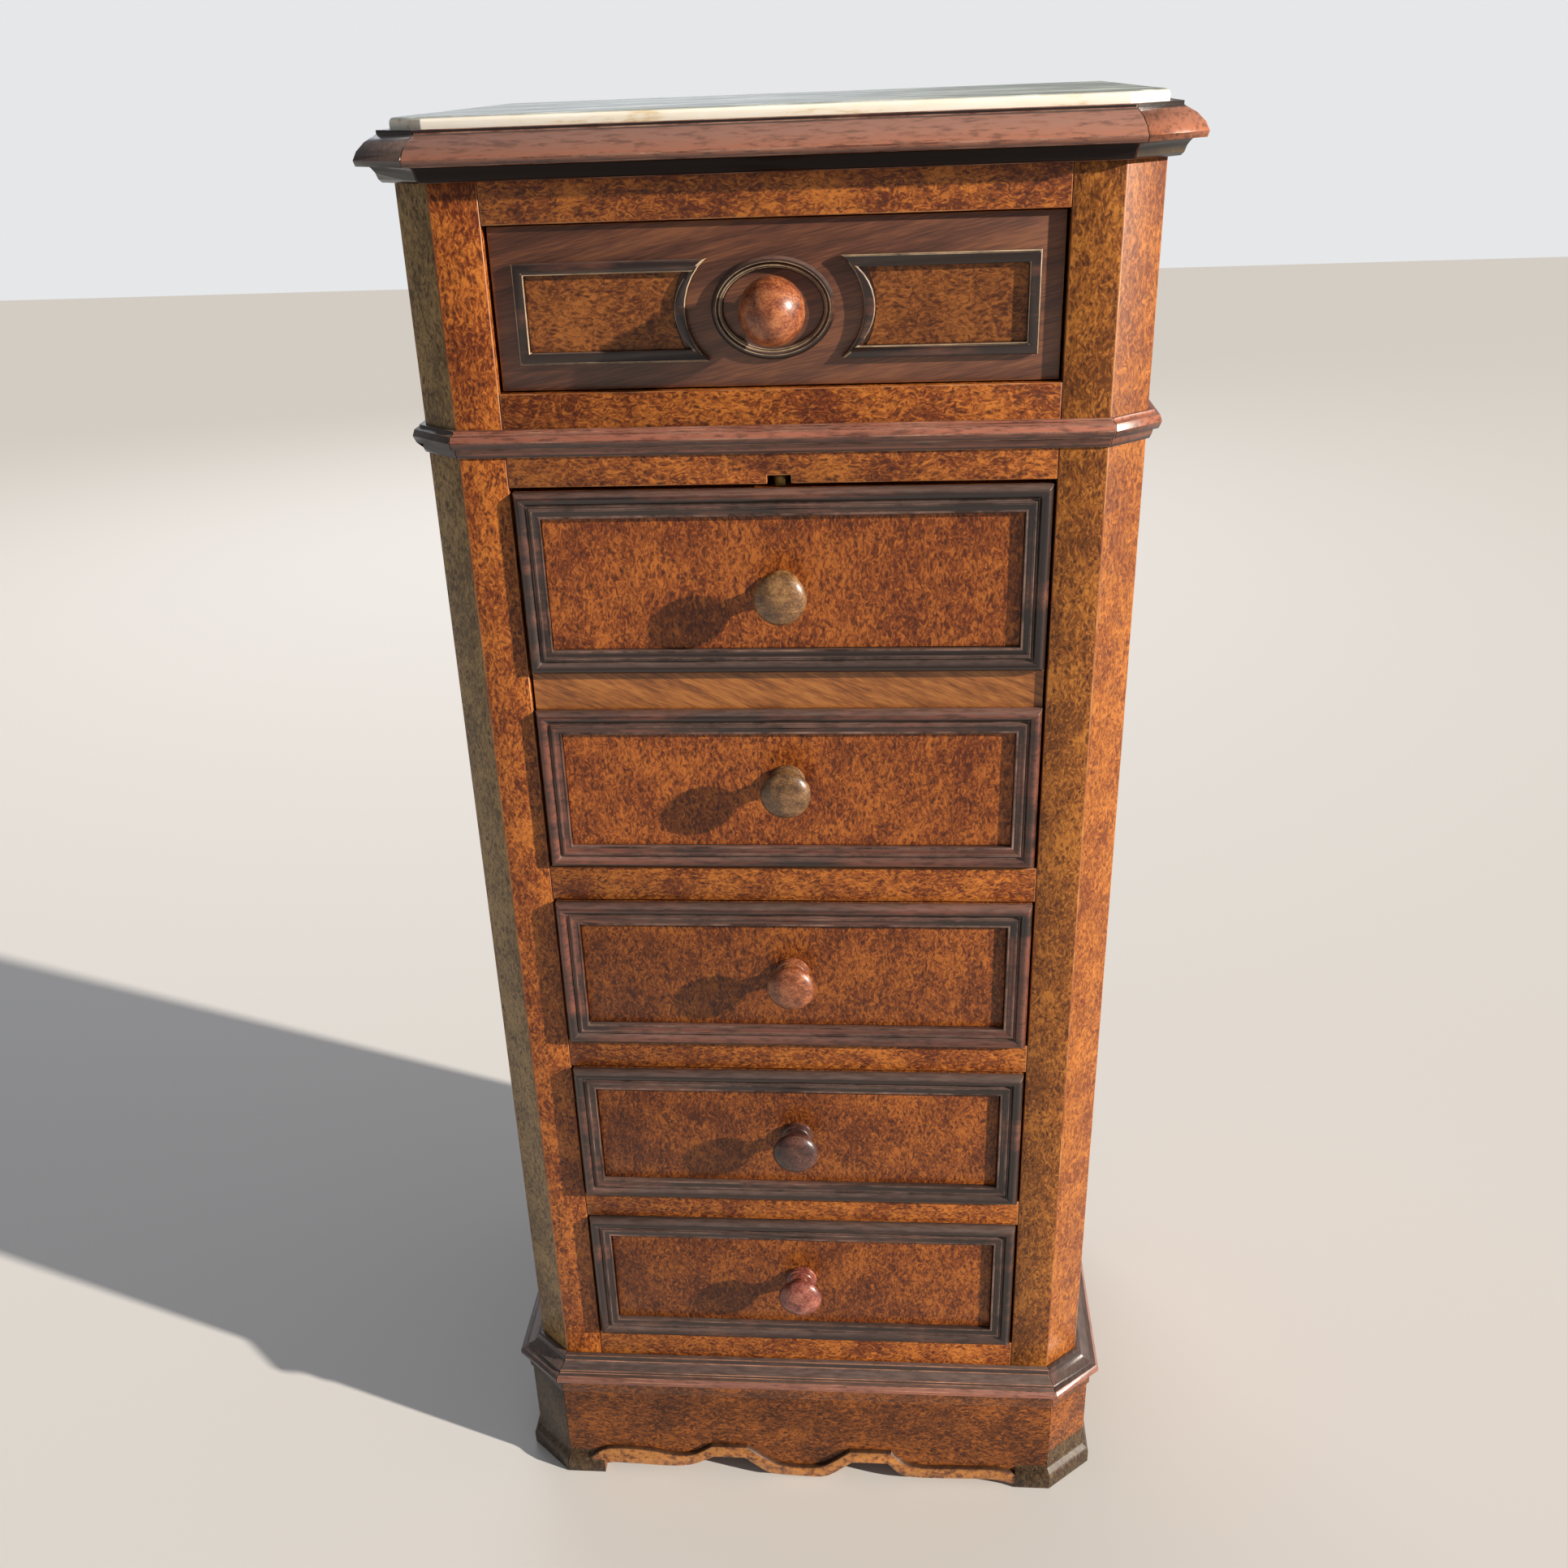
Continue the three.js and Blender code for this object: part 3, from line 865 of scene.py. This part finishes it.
@dataclass
class FriezeOrnament:
    """The oval ring and the two hollow-ended frames with burl fields on the top drawer."""

    finish: Sequence[bpy.types.Material]
    field: bpy.types.Material
    plane: float = 4.0
    middle: float = 803.5
    ring_half: Point = (31.1, 24.6)
    outer: float = 131.2
    inner: float = 30.0
    low: float = 778.9
    high: float = 827.8
    hollow_radius: float = 31.57
    hollow_centre: float = 13.03
    inlay_inset: float = 6.1
    inlay_thick: float = 0.8

    def ring(self) -> None:
        """Builds the oval ring round the knob."""
        bpy.ops.object.select_all(action="DESELECT")
        centre = (-0.7 * MM, FRONT_Y + (self.plane - 0.1) * MM, self.middle * MM)
        bpy.ops.mesh.primitive_circle_add(
            vertices=72,
            radius=1.0,
            fill_type="NGON",
            location=centre,
            rotation=(math.pi / 2, 0, 0),
        )
        bpy.ops.object.transform_apply(location=False, rotation=True, scale=False)
        edit(bpy.context.active_object)
        bpy.ops.transform.resize(
            value=(self.ring_half[0] * MM, 1.0, self.ring_half[1] * MM), center_override=centre
        )
        raise_moulding(SMALL_PROFILE)
        obj = leave()
        dress(obj, self.finish)
        bevel_edges(obj, 0.25)
        nodes = ["top_drawer_oval_ring"]
        finish_piece(obj, "oval_ring_moulded", "top_drawer", nodes)

    def hollow_face(self, side: int, inset: float, plane: float, thick: float) -> bpy.types.Object:
        """A slab with a hollow end.

        Args:
            side: -1 for the left one, 1 for the right one.
            inset: How far its edge is inside the frame's outer edge, in millimetres.
            plane: How far its back is behind the carcass's face.
            thick: Its thickness.

        Returns:
            The slab.
        """
        x_out = side * (self.outer - inset)
        x_in = side * (self.inner + inset)
        z0, z1 = self.low + inset, self.high - inset
        rectangle(min(x_out, x_in), max(x_out, x_in), z0, z1, plane)
        push_out(thick)
        slab = leave()
        bpy.ops.object.select_all(action="DESELECT")
        bpy.ops.mesh.primitive_cylinder_add(
            vertices=96,
            radius=(self.hollow_radius + inset) * MM,
            depth=20 * MM,
            location=(side * self.hollow_centre * MM, FRONT_Y, (z0 + z1) / 2 * MM),
            rotation=(math.pi / 2, 0, 0),
        )
        cutter = bpy.context.active_object
        only(slab)
        cut = slab.modifiers.new("hollow", "BOOLEAN")
        cut.operation = "DIFFERENCE"
        cut.object = cutter
        cut.solver = "EXACT"
        bpy.ops.object.modifier_apply(modifier=cut.name)
        bpy.data.objects.remove(cutter)
        edit(slab)
        bpy.ops.mesh.quads_convert_to_tris()
        bpy.ops.mesh.remove_doubles(threshold=WELD / 2)
        return leave()

    def framed_field(self, side: int, word: str) -> None:
        """One moulded frame and its burl field.

        Args:
            side: -1 for the left one, 1 for the right one.
            word: "left" or "right", for the names.
        """
        node = f"top_drawer_frame_{word}"
        obj = merged_copy(node, plain=False)
        dress(obj, self.finish)
        bevel_edges(obj, 0.4)
        finish_piece(obj, f"frieze_frame_{word}", "top_drawer", [node])
        inlay = self.hollow_face(side, self.inlay_inset, self.plane - 0.05, self.inlay_thick)
        dress(inlay, [self.field])
        finish_piece(inlay, f"frieze_field_{word}", "top_drawer")

    def build(self) -> None:
        """Builds every piece of the ornament."""
        self.ring()
        self.framed_field(-1, "left")
        self.framed_field(1, "right")


@dataclass
class WorkedSet:
    """CAD pieces whose shape stands, given rounded arrises and a finish."""

    body: str
    slot: str
    finish: Sequence[bpy.types.Material]
    nodes: tuple[str, ...]
    width: float = 0.5

    def build(self) -> None:
        """Makes and dresses each piece."""
        for node in self.nodes:
            obj = merged_copy(node)
            dress(obj, self.finish)
            bevel_edges(obj, self.width)
            finish_piece(obj, node + "_worked", self.body, [node])


@dataclass
class BandedMoulding:
    """A run of moulding whose members have worn in different ways."""

    node: str
    slot: str
    bands: Sequence[tuple[float, bpy.types.Material]]
    arris: bpy.types.Material
    width: float = 0.35

    def build(self) -> None:
        """Dresses each member by its height; bands give each one's lower edge, from the top."""
        obj = merged_copy(self.node)
        finishes = [finish for _, finish in self.bands]
        dress(obj, [*finishes, self.arris])
        bevel_edges(obj, self.width)
        for polygon in obj.data.polygons:
            if polygon.material_index == 0:
                height = polygon.center.z / MM
                inside = [k for k, (floor, _) in enumerate(self.bands) if height >= floor]
                polygon.material_index = inside[0] if inside else 0
        finish_piece(obj, self.node + "_worked", "carcass", [self.node])


@dataclass
class CantedPost:
    """A corner post: veneered front, and a cant with a colour of its own, on the left post a
    lighter olive painted for green light bounced into its shade.
    """

    node: str
    front: bpy.types.Material
    cant: bpy.types.Material
    arris: bpy.types.Material

    def build(self) -> None:
        """Dresses the front and the cant in their own sheets of veneer."""
        obj = merged_copy(self.node)
        dress(obj, [self.front, self.cant, self.arris])
        bevel_edges(obj, 0.5)
        for polygon in obj.data.polygons:
            slanted = polygon.normal.y < -SLANT and abs(polygon.normal.x) > SLANT
            if polygon.material_index == 0 and slanted:
                polygon.material_index = 1
        finish_piece(obj, self.node + "_worked", "carcass", [self.node])


@dataclass
class ShapedPlinth:
    """The plinth's front with its carved bead and moulded feet."""

    veneer: bpy.types.Material
    arris: bpy.types.Material
    bead: bpy.types.Material
    foot: bpy.types.Material
    apron: float = -9.9
    bead_top: float = 30.5
    bead_end: float = 150.0
    foot_top: float = 16.5

    def build(self) -> None:
        """Dresses the board, gives the bead its own wear, and gives the feet's lowest faces the
        darker olive burl.
        """
        obj = merged_copy("plinth_front")
        dress(obj, [self.veneer, self.bead, self.foot, self.arris])
        bevel_edges(obj, 0.4)
        for polygon in obj.data.polygons:
            middle = polygon.center
            proud = middle.y < FRONT_Y + self.apron * MM
            if abs(middle.x) < self.bead_end * MM:
                if proud and middle.z < self.bead_top * MM:
                    polygon.material_index = 1
            elif middle.z < self.foot_top * MM and polygon.material_index == 0:
                polygon.material_index = 2
        finish_piece(obj, "plinth_front_worked", "carcass", ["plinth_front"])


@dataclass
class PatchedReturn:
    """A plinth return with a strip of another wood let in along its lower edge."""

    node: str
    veneer: bpy.types.Material
    strip: bpy.types.Material
    arris: bpy.types.Material
    joint: float = 31.0

    def build(self) -> None:
        """Cuts the joint line and dresses both parts."""
        obj = merged_copy(self.node)
        edit(obj)
        bpy.ops.mesh.bisect(plane_co=(0, 0, self.joint * MM), plane_no=(0, 0, 1))
        bpy.ops.object.mode_set(mode="OBJECT")
        dress(obj, [self.veneer, self.strip, self.arris])
        bevel_edges(obj, 0.5)
        for polygon in obj.data.polygons:
            if polygon.material_index == 0 and polygon.center.z < self.joint * MM:
                polygon.material_index = 1
        finish_piece(obj, self.node + "_worked", "carcass", [self.node])


@dataclass
class FlapLeaf:
    """The flap's board: burl panels, and straight walnut for the rail and the inner side."""

    panels: bpy.types.Material
    rail: bpy.types.Material
    low: float = 590.9
    high: float = 612.7

    def build(self) -> None:
        """Cuts the rail's band out of the front and dresses both."""
        obj = merged_copy("flap_board")
        for height in (self.low, self.high):
            edit(obj)
            bpy.ops.mesh.bisect(plane_co=(0, 0, height * MM), plane_no=(0, 0, 1))
            bpy.ops.object.mode_set(mode="OBJECT")
        dress(obj, [self.panels, self.rail])
        for polygon in obj.data.polygons:
            between = self.low * MM < polygon.center.z < self.high * MM
            rail = between and polygon.normal.y < -SQUARE
            polygon.material_index = 1 if rail or polygon.normal.y > SQUARE else 0
        bpy.ops.object.shade_smooth_by_angle(angle=SMOOTH)
        finish_piece(obj, "flap_leaf", "flap", ["flap_board"])


@dataclass
class Studio:
    """Pale floor, pale air, low sun, a soft light behind and the camera."""

    floor: str = "#d9d8d6"
    air: str = "#f1f2f4"
    sun: float = 7.0
    sunward: Triple = (0.886, -0.32, 0.32)
    back: float = 30.0
    back_place: Triple = (-0.8, 2.8, 2.2)
    aim: Triple = (0.0, 0.0, 0.45)
    eye: Triple = (0.05978, -0.95099, 0.91189)
    turn: Triple = (62.43, 2.03, 4.53)
    lens: float = 36.05
    shift: Point = (0.01816, 0.06352)

    def back_light(self) -> None:
        """Adds a square area light behind the chest, which looks at its middle."""
        data = bpy.data.lights.new("back", "AREA")
        data.size = 2.0
        data.energy = self.back
        data.color = linear("#f2f5ff")[:3]
        obj = bpy.data.objects.new("back", data)
        obj.location = self.back_place
        line = Vector(self.aim) - Vector(self.back_place)
        obj.rotation_euler = line.to_track_quat("-Z", "Y").to_euler()
        bpy.context.scene.collection.objects.link(obj)

    def sun_light(self) -> None:
        """Adds the key light: low sun from the right, a little in front."""
        data = bpy.data.lights.new("key", "SUN")
        data.energy = self.sun
        data.angle = math.radians(1.2)
        data.color = linear("#fff4e6")[:3]
        obj = bpy.data.objects.new("key", data)
        obj.rotation_euler = Vector(self.sunward).to_track_quat("Z", "Y").to_euler()
        bpy.context.scene.collection.objects.link(obj)

    def air_light(self) -> None:
        """Sets the world: a pale backdrop whose own light on the chest is weak."""
        world = bpy.data.worlds.new("studio_air")
        world.use_nodes = True
        tree = world.node_tree
        tree.nodes.clear()
        rays = add_node(tree, "ShaderNodeLightPath")
        soft, shown = (
            add_node(tree, "ShaderNodeBackground", {"Color": linear(self.air), "Strength": power})
            for power in (0.26, 0.9)
        )
        both = add_node(
            tree,
            "ShaderNodeMixShader",
            links={0: rays.outputs["Is Camera Ray"], 1: soft.outputs[0], 2: shown.outputs[0]},
        )
        add_node(tree, "ShaderNodeOutputWorld", links={"Surface": both.outputs[0]})
        bpy.context.scene.world = world

    def build(self) -> None:
        """Sets the floor, world, lights and camera."""
        bpy.ops.object.select_all(action="DESELECT")
        bpy.ops.mesh.primitive_plane_add(size=14.0, location=(0.0, 0.0, -0.0005))
        ground = bpy.context.active_object
        ground.name = "studio_floor"
        paint, tree = new_tree("matt_paper_floor")
        surface(
            tree,
            {"Base Color": linear(self.floor), "Roughness": 0.9},
        )
        ground.data.materials.append(paint)
        self.air_light()
        self.sun_light()
        self.back_light()
        data = bpy.data.cameras.new("camera")
        data.sensor_width = 36.0
        data.lens = self.lens
        data.shift_x, data.shift_y = self.shift
        camera = bpy.data.objects.new("camera", data)
        camera.location = self.eye
        camera.rotation_euler = tuple(math.radians(a) for a in self.turn)
        bpy.context.scene.collection.objects.link(camera)
        bpy.context.scene.camera = camera
        bpy.context.scene.view_settings.view_transform = "Standard"


def burl(name: str, x: float, grain: Grain = Grain.UPRIGHT, **tones: Any) -> bpy.types.Material:
    """A sheet of burl veneer cut from its own place in the log.

    Args:
        name: The material's name.
        x: How far along the log it was cut, in metres.
        grain: Which way its figure runs.
        **tones: Other fields of BurlVeneer.

    Returns:
        The material.
    """
    return BurlVeneer(name, place=(x, 0.0, 0.3 * x), grain=grain, **tones).material()


def knob_wood(name: str, dark: str, mid: str, light: str) -> bpy.types.Material:
    """Turned hardwood, polished by hands.

    Args:
        name: The material's name.
        dark: Colour of the dark fibres.
        mid: Its middle colour.
        light: Colour where it is rubbed.

    Returns:
        The material.
    """
    return StraightWood(
        name, dark, mid, light, stretch=(0.7, 1.0, 1.0), band=6.0, roughness=0.38, coat=0.3
    ).material()


def mouldings(veneer: bpy.types.Material, olive: bpy.types.Material) -> None:
    """Builds the cornice, the belt and the base moulding.

    Args:
        veneer: The plinth's veneer, which the base moulding's fascia shares.
        olive: Its darker olive version, which paints shade on the left side.
    """
    along = (1.0, 0.2, 1.0)
    red = RubbedArris("arris_red_brown", "#5a3025", "#b08a76", 0.5).material()
    line = RubbedArris("arris_black", "#4a2c22", "#b8856a", 0.7).material()
    black = WornEbonised("moulding_black", worn=0.15, painted_reflection=0.8).material()
    black_side = WornEbonised("moulding_black_side", worn=0.1, stretch=along).material()
    # the cove under the cornice's torus: a black stain, darkened further as painted shade, with no
    # gloss
    deep = WornEbonised(
        "moulding_deep", black="#170e0b", worn=0.0, painted_reflection=0.0, gloss=0.0, specular=0.15
    ).material()
    torus = WornEbonised("cornice_torus", rubbed="#a0634a", worn=1.3, painted_reflection=0.9).material()
    warm = WornEbonised(
        "cornice_torus_right", rubbed="#a8603a", worn=1.1, stretch=along, place=(0.3, 0.2, 0.0)
    ).material()
    cove = WornEbonised(
        "cornice_cove_right", black="#33281a", rubbed="#6d5730", worn=0.9, stretch=along
    ).material()
    belt = WornEbonised("belt_brown", rubbed="#a0604a", worn=1.1).material()
    belt_side = WornEbonised("belt_side", rubbed="#9a5638", worn=1.0, stretch=along).material()
    ogee = WornEbonised("ogee_brown", rubbed="#8a5242", worn=1.0).material()
    ogee_side = WornEbonised("ogee_side", rubbed="#8a5242", worn=0.9, stretch=along).material()
    runs = (
        ("cornice_front", "worn_cornice", ((886.9, black), (873.7, torus), (0.0, deep)), red),
        ("cornice_left", "worn_cornice", ((0.0, black_side),), red),
        ("cornice_right", "worn_cornice", ((886.9, black_side), (873.7, warm), (0.0, cove)), red),
        ("belt_front", "ebonised", ((0.0, belt),), red),
        ("belt_left", "ebonised", ((0.0, black_side),), line),
        ("belt_right", "ebonised", ((0.0, belt_side),), red),
        ("base_moulding_front", "ebonised", ((93.7, black), (86.8, ogee), (0.0, veneer)), line),
        ("base_moulding_left", "ebonised", ((86.8, black_side), (0.0, olive)), line),
        (
            "base_moulding_right",
            "ebonised",
            ((93.7, black_side), (86.8, ogee_side), (0.0, veneer)),
            line,
        ),
    )
    for node, slot, bands, arris in runs:
        BandedMoulding(node, slot, bands, arris).build()


def carcass() -> None:
    """Builds the other fixed pieces."""
    stone = StreakedMarble("weathered_marble").material()
    WorkedSet("carcass", "marble", [stone], ("marble_top",), 0.4).build()
    pale = RubbedArris("arris_veneer", "#84451d", "#c08a55", 0.45).material()
    plinth = burl(
        "plinth_burl", 1.7, Grain.ACROSS, dark="#3a1c0b", mid="#663716", light="#92531f"
    )
    # painted shade: a darker olive version of the plinth burl for the shaded left side; it also
    # dresses the front feet and the right return's strip
    olive = burl("plinth_burl_shaded", 1.9, dark="#241c12", mid="#3f3122", light="#5f4a30")
    mouldings(plinth, olive)
    ShapedPlinth(plinth, pale, WornBead("worn_bead").material(), olive).build()
    WorkedSet("carcass", "dark_walnut", [olive, pale], ("plinth_left",), 0.5).build()
    PatchedReturn("plinth_right", plinth, olive, pale).build()
    CantedPost(
        "post_left",
        burl("post_burl_left", 0.2, mid="#874619", light="#b46b2a"),
        # painted bounce light: the left cant, in shade, is tinted a lighter olive
        burl("cant_burl_left_painted_bounce", 0.4, dark="#5a4628", mid="#84693f", light="#a28455"),
        pale,
    ).build()
    CantedPost(
        "post_right",
        burl("post_burl_right", 0.6, dark="#5f3413", mid="#8b511f", light="#b5742f"),
        burl("cant_burl_right", 0.8, dark="#662f10", mid="#8a4d1c", light="#ab6829", eyes=0.5),
        pale,
    ).build()
    rails = burl("rail_burl", 2.9, Grain.ACROSS, mid="#864719", light="#b46c2a")
    names = ("bottom_rail", "rail_5", "rail_4", "rail_3", "belt_rail", "top_rail")
    WorkedSet("carcass", "dark_walnut", [rails, pale], names).build()
    side = StraightWood(
        "walnut_side", "#5d3319", "#7d4a26", "#9d683a", stretch=(1.0, 1.0, 0.06), band=14
    )
    sides = ("side_panel_left", "side_panel_right")
    WorkedSet("carcass", "plain_wood", [side.material()], sides, 0.6).build()
    grains = {
        "deal_across": (0.06, 1.0, 1.0),
        "deal_upright": (1.0, 1.0, 0.06),
        "deal_drawer": (0.6, 0.06, 1.0),
    }
    across, upright, drawer = (
        StraightWood(
            name, "#86643f", "#a17b51", "#b8966e", stretch=run, band=12, roughness=0.65, coat=0.0
        ).material()
        for name, run in grains.items()
    )
    WorkedSet("carcass", "deal", [upright], ("back_panel",), 0.4).build()
    boards = (
        "bottom_board",
        "dust_board_5",
        "dust_board_4",
        "compartment_floor",
        "frieze_dust_board",
        "top_board",
    )
    WorkedSet("carcass", "deal", [across], boards, 0.4).build()
    for name in ("top_drawer", "drawer_3", "drawer_4", "drawer_5"):
        WorkedSet(name, "deal", [drawer], (f"{name}_box", f"{name}_bottom")).build()


def fronts() -> None:
    """Builds the drawers' fronts and the flap."""
    pale = RubbedArris("arris_front", "#6b3a20", "#a0714a", 0.4).material()
    gold = RubbedArris("arris_pale", "#4a3a2c", "#c2a888", 0.75).material()
    dim = RubbedArris("arris_dim", "#2c1b16", "#8c6e62", 0.5).material()
    field_wood = StraightWood(
        "walnut_field", "#43261a", "#5c3626", "#774a30", band=9, turn=12.0
    ).material()
    WorkedSet("top_drawer", "burl", [field_wood, pale], ("top_drawer_front",)).build()
    ring = WornEbonised("ebonised_frieze", worn=0.2, place=(1.4, 0, 0)).material()
    inlay = burl("frieze_burl", 4.1, Grain.ACROSS, dark="#4f260f", mid="#75421c", light="#965a27")
    FriezeOrnament([ring, gold], inlay).build()
    rail = StraightWood(
        "walnut_rail", "#693a18", "#8f5524", "#a96c33", (0.12, 1.0, 1.0), turn=-24.0, band=5
    ).material()
    FlapLeaf(burl("flap_burl", 3.3), rail).build()
    WorkedSet("catch", "brass", [DullBrass("dull_brass").material()], ("flap_catch",), 0.6).build()
    dark = WornEbonised("ebonised_frame_dark", worn=0.3, place=(2.2, 0, 0)).material()
    brown = WornEbonised(
        "ebonised_frame_brown", rubbed="#66392b", worn=0.7, place=(2.9, 0, 0)
    ).material()
    FramedFront("flap_upper_frame", "flap", 612.8, 714.4, 2.5, [dark, dim]).build()
    FramedFront("flap_lower_frame", "flap", 492.1, 590.8, 2.5, [brown, dim]).build()
    rows = {
        "drawer_3": (369.0, 468.3, 0.0, brown, 5.2),
        "drawer_4": (247.4, 347.7, 0.0, dark, 6.3),
        "drawer_5": (124.5, 226.4, 1.5, dark, 7.7),
    }
    for name, (low, high, plane, black, cut) in rows.items():
        sheet = burl(f"{name}_burl", cut, dark="#48200c", mid="#733a17", light="#9c5a22")
        WorkedSet(name, "burl", [sheet], (f"{name}_front",), 0.4).build()
        FramedFront(f"{name}_frame", name, low, high, plane, [black, dim]).build()


def knobs() -> None:
    """Builds the six knobs, each with its own wear."""
    brown = knob_wood("knob_brown", "#5c2c16", "#87482a", "#ad6c42")
    large = TurnedKnob("top_drawer_knob", "top_drawer", 804.5, 4.0, brown, 16.5, 21.0, 8.0, 12.6)
    large.flat = large.ball
    large.build()
    rows = (
        ("flap_upper_knob", "flap", 660.3, 0.5, ("#4e3420", "#765331", "#9a7448")),
        ("flap_lower_knob", "flap", 546.8, 0.5, ("#422e1c", "#68492c", "#8a6642")),
        ("drawer_3_knob", "drawer_3", 420.8, -2.0, ("#582c18", "#84492c", "#aa6c44")),
        ("drawer_4_knob", "drawer_4", 298.6, -2.0, ("#2b1815", "#472a24", "#6c4438")),
        ("drawer_5_knob", "drawer_5", 177.2, -0.5, ("#54241e", "#7c4034", "#a46452")),
    )
    for name, body, height, face, tones in rows:
        TurnedKnob(name, body, height, face, knob_wood(name + "_wood", *tones)).build()


def main() -> None:
    """Builds the whole scene in order."""
    logging.basicConfig(level=logging.INFO, format="%(name)s: %(message)s")
    carcass()
    fronts()
    knobs()
    Studio().build()


if __name__ == "__main__":
    main()
